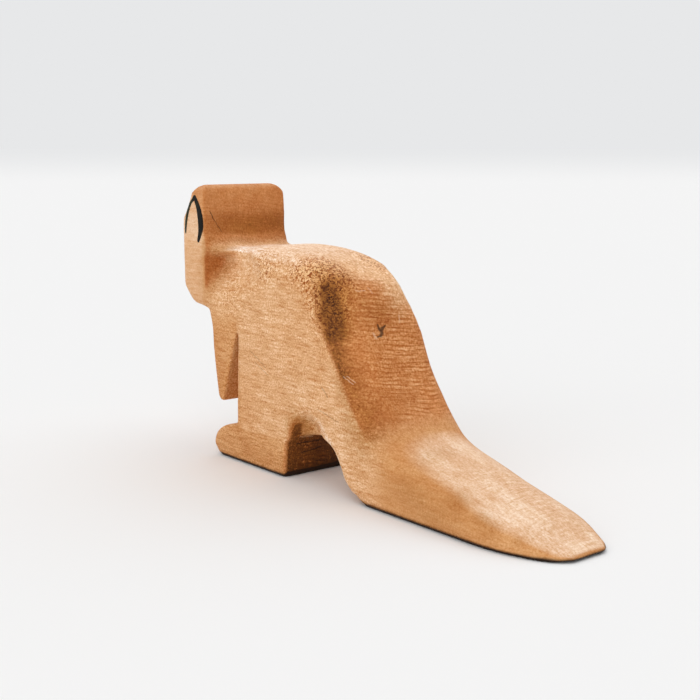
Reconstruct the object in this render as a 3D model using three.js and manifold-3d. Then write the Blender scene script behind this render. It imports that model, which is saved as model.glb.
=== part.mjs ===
// Carved wooden wallaby: one body sawn from a plank and carved, with painted marks.
// Millimetres, +X towards the head, +Y to the animal's left, +Z up.
// The outline is drawn from the back of the heel; the figure is centred at the end.
import * as THREE from 'three';
import { mergeVertices } from 'three/addons/utils/BufferGeometryUtils.js';
import Module from 'manifold-3d';

const wasm = await Module();
wasm.setup();

// Plank
const plankThickness = 30;
const edgeRounding = 0.6;

// Hind foot and haunch
const soleLength = 34;
const toeOverhang = 2.4;
const footHeight = 11;
const haunchFront = 23.9;

// Arms, hanging in front of the haunch
const pawHeight = 16.9;
const pawFront = 34;
const chestFront = 36.6;
const grooveTop = 42;
const grooveDepth = 7.5;

// Head
const headBack = 40;
const headTop = 80.2;
const jawHeight = 44.1;
const snoutReach = 63.2;
const noseHeight = 56;
const cheekEnd = 51.6;
const snoutWidth = 9;
const headRounding = 4.1;

// Back
const neckHeight = 61.8;
const shoulderHeight = 63.6;
const rumpReach = 27.8;
const rumpHeight = 46;
const backCrownWidth = 8;
const backCrownDepth = 6;

// Tail
const tailReach = 96.5;
const tailTipHeight = 3.7;
const tailTipWidth = 11;
const tailTaperLength = 25.5;
const tailRootHeight = 17.6;
const tailCrownWidth = 12;
const tailCrownDepth = 8;

// Arch between the heel and the tail, and the scoop that opens it out behind each leg
const archWidth = 33.5;
const archHeight = 13.8;
const legScoopDepth = 4.6;
const legScoopReach = 16;
const legScoopTop = 23;

// Hollow gouged behind each haunch, and the scoop on each side of the neck
const hollowRadius = 7.5;
const hollowDepth = 6.2;
const neckScoopLength = 112;
const neckScoopWidth = 22;
const neckScoopThickness = 75;
const neckScoopOffset = 25;
const neckScoopDrop = 16.8;
const neckScoopTilt = 27;

// Painted marks, each a thin layer sunk flush into the wood
const paintDepth = 0.8;
const paintClearance = 0.3;
const earStroke = 2.4;
const strokeTip = 1.1;
const eyeDiameter = 3.4;
const eyeReach = 3.4;
const noseDiameter = 7;
const noseDepth = 2.4;

// Fineness of curves
const curveDivisions = 5;
const backDivisions = 96;
const crownDivisions = 7;

// The two sides of the animal, as signs of Y
const leftSide = 1;
const rightSide = -1;

const halfThickness = plankThickness / 2;
const snoutSlope = (halfThickness - snoutWidth / 2) / (snoutReach - cheekEnd);
const point = (x, z) => new THREE.Vector2(x, z);

// A point on the head, by its share of the cheek's length and of the head's rise above the neck
function headPoint(along, up) {
  return point(
    THREE.MathUtils.lerp(headBack, cheekEnd, along),
    THREE.MathUtils.lerp(neckHeight, headTop, up),
  );
}

// A point on the forehead, by its distance past the cheek and its share of the rise above the nose
function browPoint(past, up) {
  return point(cheekEnd + past, THREE.MathUtils.lerp(noseHeight, headTop, up));
}

// Top line from the back of the head over the back to the tip of the tail
function topLinePoints() {
  const tailMiddle = -0.63 * tailReach;
  const napeCurve = new THREE.SplineCurve([
    headPoint(0.34, 1),
    headPoint(0.18, 0.973),
    headPoint(0.06, 0.86),
    headPoint(0.02, 0.565),
    headPoint(0, 0.22),
    point(0.92 * headBack, neckHeight + 0.3),
    point(0.675 * headBack, neckHeight + 0.6),
    point(0.375 * headBack, shoulderHeight),
    point(0.05 * headBack, shoulderHeight - 0.6),
    point(-0.29 * rumpReach, shoulderHeight - 2.5),
    point(-0.62 * rumpReach, 1.248 * rumpHeight),
    point(-0.84 * rumpReach, 1.13 * rumpHeight),
    point(-rumpReach, 0.978 * rumpHeight),
    point(-1.18 * rumpReach, 0.726 * rumpHeight),
    point(-1.486 * rumpReach, 1.22 * tailRootHeight),
    point(-1.665 * rumpReach, tailRootHeight),
    point(tailMiddle, 0.755 * tailRootHeight),
    point(-0.83 * tailReach, 2 * tailTipHeight),
    point(-tailReach + 0.6, tailTipHeight),
  ]);
  return napeCurve.getPoints(backDivisions);
}

// Side outline of the plank, anticlockwise from the heel
function sideOutline(topLine) {
  const shape = new THREE.Shape();
  const toe = soleLength + toeOverhang;
  shape.moveTo(0.4, 0);
  shape.lineTo(soleLength, 0);
  shape.splineThru([
    point(toe - 0.7, 1.2),
    point(toe, 3.6),
    point(toe - 1.1, 6.6),
    point(toe - 3.7, footHeight - 2.2),
    point(toe - 7, footHeight - 0.8),
  ]);
  shape.lineTo(haunchFront + 1.6, footHeight);
  shape.quadraticCurveTo(haunchFront, footHeight + 0.1, haunchFront, footHeight + 1.6);
  shape.lineTo(haunchFront, pawHeight);
  shape.lineTo(pawFront - 2.6, pawHeight);
  shape.quadraticCurveTo(pawFront - 0.2, pawHeight + 0.1, pawFront, pawHeight + 2.4);
  shape.splineThru([
    point(pawFront + 1.1, pawHeight + 8.6),
    point(chestFront - 0.5, pawHeight + 15.3),
    point(chestFront, jawHeight - 5.5),
    point(chestFront + 1.2, jawHeight - 1.6),
  ]);
  shape.quadraticCurveTo(chestFront + 2.2, jawHeight, chestFront + 4.6, jawHeight);
  shape.splineThru([
    point(cheekEnd - 5, jawHeight + 0.7),
    point(cheekEnd - 2.5, jawHeight + 2.5),
    point(cheekEnd + 0.2, jawHeight + 4.9),
    point(snoutReach - 6, noseHeight - 5),
    point(snoutReach - 1.6, noseHeight - 3.4),
    point(snoutReach, noseHeight),
    browPoint(snoutReach - cheekEnd - 1.5, 0.15),
    browPoint(4, 0.41),
    browPoint(-1.2, 0.65),
    browPoint(-4.4, 0.86),
  ]);
  shape.quadraticCurveTo(headBack + 6.2, headTop - 0.1, topLine[0].x, topLine[0].y);
  topLine.slice(1).forEach((spot) => shape.lineTo(spot.x, spot.y));
  shape.lineTo(-tailReach, tailTipHeight - 2.4);
  shape.lineTo(-tailReach + 5, 0);
  shape.lineTo(-archWidth, 0);
  shape.splineThru([
    point(-0.83 * archWidth, 0.28 * archHeight),
    point(-0.7 * archWidth, 0.6 * archHeight),
    point(-0.61 * archWidth, 0.89 * archHeight),
    point(-0.47 * archWidth, archHeight),
    point(-0.24 * archWidth, 0.95 * archHeight),
    point(-0.07 * archWidth, 0.86 * archHeight),
  ]);
  shape.quadraticCurveTo(0, 0.82 * archHeight, 0.01 * archWidth, 0.6 * archHeight);
  shape.lineTo(0.02 * archWidth, 0.2 * archHeight);
  return shape;
}

// Half width of the tail in plan, which narrows in a full curve to a blunt tip
function tailHalfWidth(x) {
  const share = THREE.MathUtils.clamp((tailTaperLength - tailReach - x) / tailTaperLength, 0, 1);
  return THREE.MathUtils.lerp(tailTipWidth / 2, halfThickness, (1 - share ** 2) ** 0.65);
}

// Plan outline that narrows the tail and the snout, and stays clear of the plank between them
function planOutline() {
  const clear = 2;
  const steps = 14;
  const left = [];
  for (let i = steps; i >= 0; i--) {
    const x = -tailReach + tailTaperLength * i / steps;
    left.push(point(x, tailHalfWidth(x)));
  }
  left.unshift(point(-tailReach + tailTaperLength + 4, halfThickness + clear));
  left.push(point(-tailReach - clear, tailTipWidth / 2 - 1));
  const right = [
    point(snoutReach + clear, snoutWidth / 2 - clear),
    point(snoutReach - 1.2, snoutWidth / 2 + 1.2 * snoutSlope),
    point(cheekEnd + 1, halfThickness - snoutSlope),
    point(cheekEnd - 0.6, halfThickness - 0.1 * snoutSlope),
    point(cheekEnd - 3, halfThickness + clear),
  ];
  const upper = [...right, ...left];
  const lower = upper.map((spot) => point(spot.x, -spot.y)).reverse();
  return new THREE.Shape([...upper, ...lower]);
}

// Front outline of the plank, with the top edges of the head rounded
function frontOutline() {
  const clear = 2;
  const shape = new THREE.Shape();
  shape.moveTo(-halfThickness - clear, -clear);
  shape.lineTo(halfThickness + clear, -clear);
  shape.lineTo(halfThickness + clear, headTop - headRounding - 8);
  shape.lineTo(halfThickness, headTop - headRounding - 2);
  shape.lineTo(halfThickness, headTop - headRounding);
  shape.absarc(halfThickness - headRounding, headTop - headRounding, headRounding, 0, Math.PI / 2);
  shape.absarc(headRounding - halfThickness, headTop - headRounding, headRounding, Math.PI / 2, Math.PI);
  shape.lineTo(-halfThickness, headTop - headRounding - 2);
  shape.lineTo(-halfThickness - clear, headTop - headRounding - 8);
  return shape;
}

// Closed solid from a geometry, or from its mirror image for the right side
function solid(geometry, side = leftSide) {
  const bare = geometry.clone();
  bare.deleteAttribute('normal');
  bare.deleteAttribute('uv');
  const merged = mergeVertices(bare, 1e-4);
  merged.scale(1, side, 1);
  const corners = new Uint32Array(merged.index.array);
  if (side === rightSide) corners.reverse();
  return new wasm.Manifold(new wasm.Mesh({
    numProp: 3,
    vertProperties: new Float32Array(merged.attributes.position.array),
    triVerts: corners,
  }));
}

// One solid made of a geometry on the left side and its mirror image on the right
function bothSides(geometry) {
  return solid(geometry).add(solid(geometry, rightSide));
}

// Geometry from a solid
function geometryOf(body) {
  const mesh = body.getMesh();
  const geometry = new THREE.BufferGeometry();
  geometry.setAttribute('position', new THREE.BufferAttribute(mesh.vertProperties, 3));
  geometry.setIndex(new THREE.BufferAttribute(mesh.triVerts, 1));
  geometry.computeVertexNormals();
  return geometry;
}

// Shape of the side view made as thick as asked, from one depth of the plank to another
function sidePlate(shape, fromY, toY, rounding = 0) {
  const geometry = new THREE.ExtrudeGeometry(shape, {
    depth: toY - fromY - 2 * rounding,
    curveSegments: curveDivisions,
    bevelEnabled: rounding > 0,
    bevelThickness: rounding,
    bevelSize: rounding,
    bevelOffset: -rounding,
    bevelSegments: 2,
  });
  geometry.translate(0, 0, rounding - toY);
  geometry.rotateX(Math.PI / 2);
  return geometry;
}

// Plan view made taller than the figure
function planPlate() {
  const geometry = new THREE.ExtrudeGeometry(planOutline(), { depth: headTop + 10, bevelEnabled: false });
  geometry.translate(0, 0, -5);
  return geometry;
}

// Front view made longer than the figure
function frontPlate() {
  const length = tailReach + snoutReach + 10;
  const geometry = new THREE.ExtrudeGeometry(frontOutline(), {
    depth: length,
    curveSegments: curveDivisions,
    bevelEnabled: false,
  });
  geometry.rotateX(Math.PI / 2);
  geometry.rotateZ(Math.PI / 2);
  geometry.translate(-tailReach - 5, 0, 0);
  return geometry;
}

// Closed geometry through equal rings of points, its two ends closed by the first ring's section
function loft(rings, section) {
  const count = section.length;
  const index = [];
  for (let i = 1; i < rings.length; i++) {
    for (let j = 0; j < count; j++) {
      const next = (j + 1) % count;
      const corner = (i - 1) * count;
      index.push(corner + j, corner + count + next, corner + next);
      index.push(corner + j, corner + count + j, corner + count + next);
    }
  }
  const last = (rings.length - 1) * count;
  THREE.ShapeUtils.triangulateShape(section, []).forEach(([a, b, c]) => {
    index.push(c, b, a);
    index.push(last + a, last + b, last + c);
  });
  const geometry = new THREE.BufferGeometry();
  const places = rings.flat().flatMap((spot) => spot.toArray());
  geometry.setAttribute('position', new THREE.Float32BufferAttribute(places, 3));
  geometry.setIndex(index);
  return geometry;
}

// Half of a crown's section: across the back, and down from the top line
function crownSection(half, width, depth) {
  const section = [];
  for (let i = 0; i <= crownDivisions; i++) {
    const turn = 0.5 * Math.PI * i / crownDivisions;
    section.push(point(half - width + width * Math.sin(turn), depth * (1 - Math.cos(turn))));
  }
  return section;
}

// Wood taken off above the crowned back and tail, following the top line
function backCrown(topLine) {
  const waste = 7;
  const overhang = 4;
  const neckGap = 8;
  const leastDepth = 0.4;
  const spots = topLine.filter((spot) => spot.x < headBack - neckGap);
  const end = spots[spots.length - 1];
  spots.push(point(end.x - overhang, end.y - 0.2 * overhang));
  let section = [];
  const rings = spots.map((spot, i) => {
    const before = spots[Math.max(i - 1, 0)];
    const after = spots[Math.min(i + 1, spots.length - 1)];
    const heading = after.clone().sub(before).normalize();
    const onTail = THREE.MathUtils.smoothstep(-spot.x, 1.14 * rumpReach, 1.86 * rumpReach);
    const onBack = THREE.MathUtils.smoothstep(headBack - spot.x, neckGap, neckGap + 10);
    const half = tailHalfWidth(spot.x) + 0.01;
    const width = THREE.MathUtils.lerp(backCrownWidth, tailCrownWidth, onTail) * half / halfThickness;
    const fullDepth = THREE.MathUtils.lerp(backCrownDepth, tailCrownDepth, onTail);
    const depth = THREE.MathUtils.lerp(leastDepth, Math.min(fullDepth, 0.7 * spot.y), onBack);
    const right = crownSection(half, width, depth);
    const left = right.map((place) => point(-place.x, place.y)).reverse();
    section = [
      ...left,
      ...right,
      point(half + overhang, depth),
      point(half + overhang, -waste),
      point(-half - overhang, -waste),
      point(-half - overhang, depth),
    ];
    return section.map((place) => new THREE.Vector3(
      spot.x - heading.y * place.y,
      place.x,
      spot.y + heading.x * place.y,
    ));
  });
  return loft(rings, section);
}

// Gouged hollow that runs down behind the haunch on to the tail
function haunchHollow() {
  const outside = halfThickness + hollowRadius - hollowDepth;
  const place = (reach, out, height) => new THREE.Vector3(
    -reach * rumpReach,
    outside + out * hollowRadius,
    height,
  );
  const path = new THREE.CatmullRomCurve3([
    place(0.2, 1.1, 1.44 * rumpHeight),
    place(0.56, 0.3, 1.28 * rumpHeight),
    place(0.73, 0, 1.12 * rumpHeight),
    place(0.84, 0.1, 1.01 * rumpHeight),
    place(0.97, 0.25, 0.87 * rumpHeight),
    place(1.12, 0.3, 0.74 * rumpHeight),
    place(1.26, 0.35, 0.6 * rumpHeight),
    place(1.4, 0.4, 1.31 * tailRootHeight),
    place(1.77, 0.65, 0.95 * tailRootHeight),
    place(2.3, 1.1, 0.68 * tailRootHeight),
  ]);
  const section = new THREE.Shape();
  section.absarc(0, 0, hollowRadius, 0, 2 * Math.PI);
  return bothSides(new THREE.ExtrudeGeometry(section, {
    extrudePath: path,
    steps: 40,
    curveSegments: 12,
    bevelEnabled: false,
  }));
}

// Scoop that narrows the neck: an ellipsoid that leans inwards and up, stopped by the flat
// back of the cheek and below the curve that joins the neck to the head
function neckScoop() {
  const ahead = 8;
  const scoop = new THREE.SphereGeometry(0.5, 40, 24);
  scoop.rotateZ(Math.PI / 2);
  scoop.scale(neckScoopLength, neckScoopThickness, neckScoopWidth);
  scoop.rotateX(-THREE.MathUtils.degToRad(neckScoopTilt));
  scoop.translate(headBack + ahead, halfThickness + neckScoopOffset, neckHeight - neckScoopDrop);
  const behindCheek = new THREE.Shape();
  behindCheek.moveTo(headBack - 0.2, 0);
  behindCheek.lineTo(headBack - 0.2, neckHeight - 1.6);
  behindCheek.lineTo(0.8 * headBack, neckHeight - 1.4);
  behindCheek.lineTo(0.66 * headBack, neckHeight);
  behindCheek.lineTo(0.5 * headBack, neckHeight + 4);
  behindCheek.lineTo(-headBack, neckHeight + 4);
  behindCheek.lineTo(-headBack, 0);
  const plate = sidePlate(behindCheek, -plankThickness, plankThickness);
  return bothSides(scoop).intersect(solid(plate));
}

// Scoop above the arch that fades towards the tail and leaves the back of the leg standing
function legScoop() {
  const above = 3;
  const middle = 0.4 * legScoopTop;
  const scoop = new THREE.SphereGeometry(1, 40, 24);
  scoop.rotateX(Math.PI / 2);
  scoop.scale(legScoopReach, legScoopDepth + above, legScoopTop - middle);
  scoop.translate(-0.22 * legScoopReach, halfThickness + above, middle);
  const behindLeg = new THREE.Shape();
  behindLeg.moveTo(0.5, -legScoopTop);
  behindLeg.lineTo(0, 0.3 * legScoopTop);
  behindLeg.splineThru([
    point(-0.055 * legScoopReach, 0.43 * legScoopTop),
    point(-0.16 * legScoopReach, 0.63 * legScoopTop),
    point(-0.37 * legScoopReach, 0.805 * legScoopTop),
    point(-0.68 * legScoopReach, 0.9 * legScoopTop),
  ]);
  behindLeg.lineTo(-2 * legScoopReach, legScoopTop);
  behindLeg.lineTo(-2 * legScoopReach, -legScoopTop);
  const plate = sidePlate(behindLeg, -plankThickness, plankThickness);
  return bothSides(scoop).intersect(solid(plate));
}

// Tapering groove between an arm and the haunch
function armGroove() {
  const shape = new THREE.Shape();
  shape.moveTo(haunchFront, pawHeight - 3);
  shape.lineTo(pawFront - 1.6, pawHeight - 3);
  shape.lineTo(haunchFront - 1.2, grooveTop);
  shape.closePath();
  return bothSides(sidePlate(shape, halfThickness - grooveDepth, halfThickness + 4));
}

// Every mark on a side is cut from this far out
const markOutside = halfThickness + 5;

// Outline of a brush stroke along a curve, full in the middle and thin at its ends
function strokeOutline(spots, fullWidth, inset) {
  const curve = new THREE.SplineCurve(spots);
  const count = 12;
  const near = [];
  const far = [];
  for (let i = 0; i <= count; i++) {
    const share = i / count;
    const spot = curve.getPoint(share);
    const heading = curve.getTangent(share);
    const swell = Math.sin(Math.PI * share);
    const reach = THREE.MathUtils.lerp(strokeTip, fullWidth, swell) / 2 - inset;
    near.push(point(spot.x - heading.y * reach, spot.y + heading.x * reach));
    far.push(point(spot.x + heading.y * reach, spot.y - heading.x * reach));
  }
  return new THREE.Shape([...near, ...far.reverse()]);
}

// Ear mark: a pointed arch of two strokes that meet at the top of the ear
function earMark(side, inset) {
  const apex = headPoint(0.4, 0.805);
  const rearEnd = headPoint(0.26, 0.076);
  const frontEnd = headPoint(0.86, 0.185);
  const rear = strokeOutline([
    point(rearEnd.x, rearEnd.y + inset),
    headPoint(0.16, 0.24),
    headPoint(0.15, 0.424),
    headPoint(0.225, 0.64),
    apex,
  ], earStroke, inset);
  const front = strokeOutline([
    point(frontEnd.x, frontEnd.y + inset),
    headPoint(0.82, 0.4),
    headPoint(0.665, 0.64),
    apex,
  ], earStroke * 0.75, inset);
  const floor = halfThickness - paintDepth;
  const strokes = [rear, front].map((shape) => solid(sidePlate(shape, floor, markOutside), side));
  return strokes[0].add(strokes[1]);
}

// Round spot on the side of the snout, seen square from the side
function eyeSpot(side, inset) {
  const shape = new THREE.Shape();
  const centre = browPoint(eyeReach, 0.29);
  shape.absarc(centre.x, centre.y, eyeDiameter / 2 - inset, 0, 2 * Math.PI);
  const floor = halfThickness - snoutSlope * (eyeReach + eyeDiameter / 2) - paintDepth;
  return solid(sidePlate(shape, floor, markOutside), side);
}

// Round spot on the tip of the snout, seen square from the front
function noseSpot(inset) {
  const radius = noseDiameter / 2 - inset;
  const length = 10;
  const geometry = new THREE.CylinderGeometry(radius, radius, length, 20);
  geometry.rotateZ(Math.PI / 2);
  geometry.translate(snoutReach - noseDepth + length / 2, 0, noseHeight + 1.4);
  return solid(geometry);
}

const wood = () => new THREE.MeshStandardMaterial({ color: 0xc58a58, roughness: 0.62, metalness: 0 });
const paint = () => new THREE.MeshStandardMaterial({ color: 0x14110f, roughness: 0.45, metalness: 0 });

function named(name, geometry, material) {
  const mesh = new THREE.Mesh(geometry, material);
  mesh.name = name;
  return mesh;
}

const topLine = topLinePoints();
const plank = solid(sidePlate(sideOutline(topLine), -halfThickness, halfThickness, edgeRounding));
const blank = plank
  .intersect(solid(planPlate()))
  .intersect(solid(frontPlate()))
  .subtract(solid(backCrown(topLine)))
  .subtract(haunchHollow())
  .subtract(neckScoop())
  .subtract(legScoop())
  .subtract(armGroove());

const recesses = [
  earMark(leftSide, 0),
  earMark(rightSide, 0),
  eyeSpot(leftSide, 0),
  eyeSpot(rightSide, 0),
  noseSpot(0),
];
const body = recesses.reduce((carved, recess) => carved.subtract(recess), blank);
const paintOf = (spot) => geometryOf(blank.intersect(spot));

const figure = new THREE.Group();
figure.add(
  named('wallaby_body', geometryOf(body), wood()),
  named('ear_mark_left', paintOf(earMark(leftSide, paintClearance)), paint()),
  named('ear_mark_right', paintOf(earMark(rightSide, paintClearance)), paint()),
  named('eye_left', paintOf(eyeSpot(leftSide, paintClearance)), paint()),
  named('eye_right', paintOf(eyeSpot(rightSide, paintClearance)), paint()),
  named('nose_mark', paintOf(noseSpot(paintClearance)), paint()),
);
figure.position.x = (tailReach - snoutReach) / 2;

const group = new THREE.Group();
group.add(figure);

export default group;
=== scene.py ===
"""Carved wooden wallaby: a plank figurine with brush-painted ears, eyes and nose.

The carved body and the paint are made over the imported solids, in metres, in the same frame:
+X towards the head, +Y to the animal's left, +Z up.
"""

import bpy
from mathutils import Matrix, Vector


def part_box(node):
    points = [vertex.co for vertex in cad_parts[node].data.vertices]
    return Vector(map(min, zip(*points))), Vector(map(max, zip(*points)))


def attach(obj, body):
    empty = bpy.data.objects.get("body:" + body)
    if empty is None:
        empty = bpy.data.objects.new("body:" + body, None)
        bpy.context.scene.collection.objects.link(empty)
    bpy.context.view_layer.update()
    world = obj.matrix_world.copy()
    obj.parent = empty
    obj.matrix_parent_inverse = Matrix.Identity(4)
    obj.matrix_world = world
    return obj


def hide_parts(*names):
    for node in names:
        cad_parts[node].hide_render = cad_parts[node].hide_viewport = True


bl_info = {
    "name": "Carved Wallaby",
    "version": (1, 0, 0),
    "blender": (4, 5, 0),
    "location": "3D View > Sidebar > Wallaby",
    "description": "Makes a carved wooden wallaby and the plain studio around it",
    "category": "Add Mesh",
}

import math

import bmesh
import bpy
import numpy as np
from mathutils import Vector

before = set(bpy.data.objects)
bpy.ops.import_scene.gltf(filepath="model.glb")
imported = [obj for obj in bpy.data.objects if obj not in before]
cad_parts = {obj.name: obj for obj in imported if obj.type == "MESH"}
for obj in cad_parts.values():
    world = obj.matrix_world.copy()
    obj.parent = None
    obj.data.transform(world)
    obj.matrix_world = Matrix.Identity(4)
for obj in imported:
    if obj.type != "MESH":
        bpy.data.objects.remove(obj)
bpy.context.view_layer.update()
MM = 0.001

# The outline is measured from the back of the heel, this far along X in the part's frame
HEEL = 16.65 * MM

# Corners of a CAD mesh closer together than this are one corner
MERGE_DISTANCE = 0.002 * MM

# Vertex weights are told apart in this many steps
WEIGHT_STEPS = 100


# Small helpers

def deselect():
    if bpy.context.mode != "OBJECT":
        bpy.ops.object.mode_set(mode="OBJECT")
    bpy.ops.object.select_all(action="DESELECT")


def activate(piece):
    deselect()
    piece.select_set(True)
    bpy.context.view_layer.objects.active = piece


def copy_of_node(node, name):
    """A merged copy of a CAD node's mesh, as the base of a new piece."""
    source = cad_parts[node]
    piece = bpy.data.objects.new(name, source.data.copy())
    piece.data.name = name
    piece.data.materials.clear()
    bpy.context.scene.collection.objects.link(piece)
    activate(piece)
    bpy.ops.object.mode_set(mode="EDIT")
    bpy.ops.mesh.select_all(action="SELECT")
    bpy.ops.mesh.remove_doubles(threshold=MERGE_DISTANCE)
    bpy.ops.mesh.select_all(action="DESELECT")
    bpy.ops.object.mode_set(mode="OBJECT")
    return piece


def apply_modifiers(piece):
    activate(piece)
    for modifier in list(piece.modifiers):
        bpy.ops.object.modifier_apply(modifier=modifier.name)


def vectors(piece, key):
    """Three values for each vertex, such as its place or its normal."""
    values = np.empty(len(piece.data.vertices) * 3, np.float64)
    piece.data.vertices.foreach_get(key, values)
    return values.reshape(-1, 3)


def places(piece):
    return vectors(piece, "co")


def normals(piece):
    return vectors(piece, "normal")


def move_to(piece, co):
    piece.data.vertices.foreach_set("co", co.ravel())
    piece.data.update()


def heel_frame(piece):
    """Places in millimetres, with X measured from the back of the heel."""
    co = places(piece) / MM
    return co[:, 0] - HEEL / MM, co[:, 1], co[:, 2]


def smoothstep(low, high, value):
    share = np.clip((value - low) / (high - low), 0, 1)
    return share * share * (3 - 2 * share)


def within(value, start, full, fade, end):
    """One between full and fade, running out to nothing at start and at end."""
    return smoothstep(start, full, value) * smoothstep(end, fade, value)


def bell(value, centre, reach):
    return np.exp(-((value - centre) / reach) ** 2)


def weight_group(piece, name, weights):
    """A vertex group from an array of weights from nothing to one."""
    group = piece.vertex_groups.new(name=name)
    steps = np.clip(np.round(weights * WEIGHT_STEPS), 0, WEIGHT_STEPS).astype(int)
    for step in np.unique(steps):
        if step > 0:
            group.add(np.nonzero(steps == step)[0].tolist(), step / WEIGHT_STEPS, "REPLACE")
    return group.name


def set_attribute(piece, name, values):
    attribute = piece.data.attributes.get(name)
    if attribute is None:
        attribute = piece.data.attributes.new(name, "FLOAT", "POINT")
    attribute.data.foreach_set("value", values.astype(np.float32))


def fine_mesh(piece, size):
    """Builds a piece's surface again from even faces of a given size."""
    remesh = piece.modifiers.new("Fine mesh", "REMESH")
    remesh.mode = "VOXEL"
    remesh.voxel_size = size
    apply_modifiers(piece)


def smooth_where(piece, name, weights, rounds):
    """Smooths a piece's surface, everywhere or by an array of weights."""
    modifier = piece.modifiers.new(name, "SMOOTH")
    modifier.factor = 0.5
    modifier.iterations = rounds
    if weights is not None:
        modifier.vertex_group = weight_group(piece, name, weights)
    apply_modifiers(piece)
    piece.vertex_groups.clear()


def soften(piece, values, rounds):
    """Spreads an array of values over the mesh, a little each round."""
    edges = np.empty(len(piece.data.edges) * 2, np.int64)
    piece.data.edges.foreach_get("vertices", edges)
    one, other = edges.reshape(-1, 2).T
    count = len(values)
    shared = np.bincount(one, minlength=count) + np.bincount(other, minlength=count)
    for _ in range(rounds):
        total = np.bincount(one, values[other], count) + np.bincount(other, values[one], count)
        values = 0.5 * values + 0.5 * total / np.maximum(shared, 1)
    return values


def distance_to_line(x, z, line):
    """Distance in the side view from each point to an open line of points, in millimetres."""
    best = np.full(len(x), 1e9)
    for (ax, az), (bx, bz) in zip(line, line[1:]):
        dx, dz = bx - ax, bz - az
        share = np.clip(((x - ax) * dx + (z - az) * dz) / (dx * dx + dz * dz), 0, 1)
        best = np.minimum(best, np.hypot(x - ax - share * dx, z - az - share * dz))
    return best


# Materials

class Tree:
    """Adds nodes to a material with short calls."""

    def __init__(self, material):
        self.nodes = material.node_tree.nodes
        self.links = material.node_tree.links
        self.nodes.clear()

    def add(self, kind, inputs=None, **settings):
        node = self.nodes.new(kind)
        for key, value in settings.items():
            setattr(node, key, value)
        for key, value in (inputs or {}).items():
            socket = node.inputs[key]
            if isinstance(value, bpy.types.NodeSocket):
                self.links.new(value, socket)
            else:
                socket.default_value = value
        return node

    def math(self, operation, a, b=0.0, c=None, clamp=False):
        inputs = {0: a, 1: b}
        if c is not None:
            inputs[2] = c
        return self.add("ShaderNodeMath", inputs, operation=operation, use_clamp=clamp).outputs[0]

    def times(self, a, b, clamp=False):
        return self.math("MULTIPLY", a, b, clamp=clamp)

    def line(self, value, slope, start):
        """The value times the slope, on top of the start."""
        return self.math("MULTIPLY_ADD", value, slope, start)

    def swing(self, value, amount):
        """A factor round one from a noise round one half."""
        return self.math("ADD", self.times(self.math("SUBTRACT", value, 0.5), amount), 1.0)

    def vector(self, operation, inputs, output=0):
        return self.add("ShaderNodeVectorMath", inputs, operation=operation).outputs[output]

    def mapping(self, vector, scale):
        return self.add("ShaderNodeMapping", {"Vector": vector, "Scale": scale}).outputs[0]

    def noise(self, vector, scale=1.0, detail=3.0, roughness=0.5, distortion=0.0):
        return self.add("ShaderNodeTexNoise", {
            "Vector": vector, "Scale": scale, "Detail": detail,
            "Roughness": roughness, "Distortion": distortion,
        }).outputs["Fac"]

    def between(self, value, low, high, to_low=0.0, to_high=1.0):
        return self.add("ShaderNodeMapRange", {
            "Value": value, "From Min": low, "From Max": high,
            "To Min": to_low, "To Max": to_high,
        }, interpolation_type="SMOOTHSTEP", clamp=True).outputs["Result"]

    def mix(self, share, a, b, blend="MIX"):
        node = self.add("ShaderNodeMix", data_type="RGBA", blend_type=blend)
        for socket, value in ((node.inputs[0], share), (node.inputs[6], a), (node.inputs[7], b)):
            if isinstance(value, bpy.types.NodeSocket):
                self.links.new(value, socket)
            elif socket.type == "RGBA":
                socket.default_value = (*value, 1)
            else:
                socket.default_value = value
        return node.outputs[2]

    def attribute(self, name):
        return self.add("ShaderNodeAttribute", attribute_name=name).outputs["Fac"]

    def surface(self, colour, roughness, specular, height, strength, distance):
        """Ends a material in a surface with a fine relief."""
        bump = self.add("ShaderNodeBump", {"Height": height, "Strength": strength, "Distance": distance})
        shader = self.add("ShaderNodeBsdfPrincipled", {
            "Base Color": colour, "Roughness": roughness, "Normal": bump.outputs[0],
            "Specular IOR Level": specular,
        })
        self.add("ShaderNodeOutputMaterial", {"Surface": shader.outputs[0]})


def new_material(name):
    material = bpy.data.materials.new(name)
    material.use_nodes = True
    return material, Tree(material)


# The inner share of a mark's width that shows fully, how far marks waver, and how much of the wood's colour
# the dark ones, the dark ones on the side and the pale ones take
MARK_CORE = 0.3
MARK_WAVER = 0.8 * MM
DARK_MARKS = 0.8
SIDE_MARKS = 0.35
PALE_MARKS = 0.42


def scratches(tree, here, flat, lines):
    """Thin marks on the wood: each from a start to an end, in millimetres from the back of the heel.

    The distance to a mark is measured in a space that is squeezed across the surface, so that a straight
    mark also follows a surface that bulges a little.
    """
    squeezed = tree.vector("MULTIPLY", {0: here, 1: flat})
    total = None
    for start, end, width in lines:
        first = (Vector(start) * MM + Vector((HEEL, 0, 0))) * Vector(flat)
        run = (Vector(end) * MM + Vector((HEEL, 0, 0))) * Vector(flat) - first
        offset = tree.vector("SUBTRACT", {0: squeezed, 1: first})
        along = tree.vector("DOT_PRODUCT", {0: offset, 1: run / run.length_squared}, "Value")
        along = tree.math("ADD", along, 0.0, clamp=True)
        nearest = tree.vector("SCALE", {0: run, "Scale": along})
        away = tree.vector("DISTANCE", {0: offset, 1: nearest}, "Value")
        mark = tree.between(away, width * MM, MARK_CORE * width * MM)
        total = mark if total is None else tree.math("MAXIMUM", total, mark)
    return total


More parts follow.
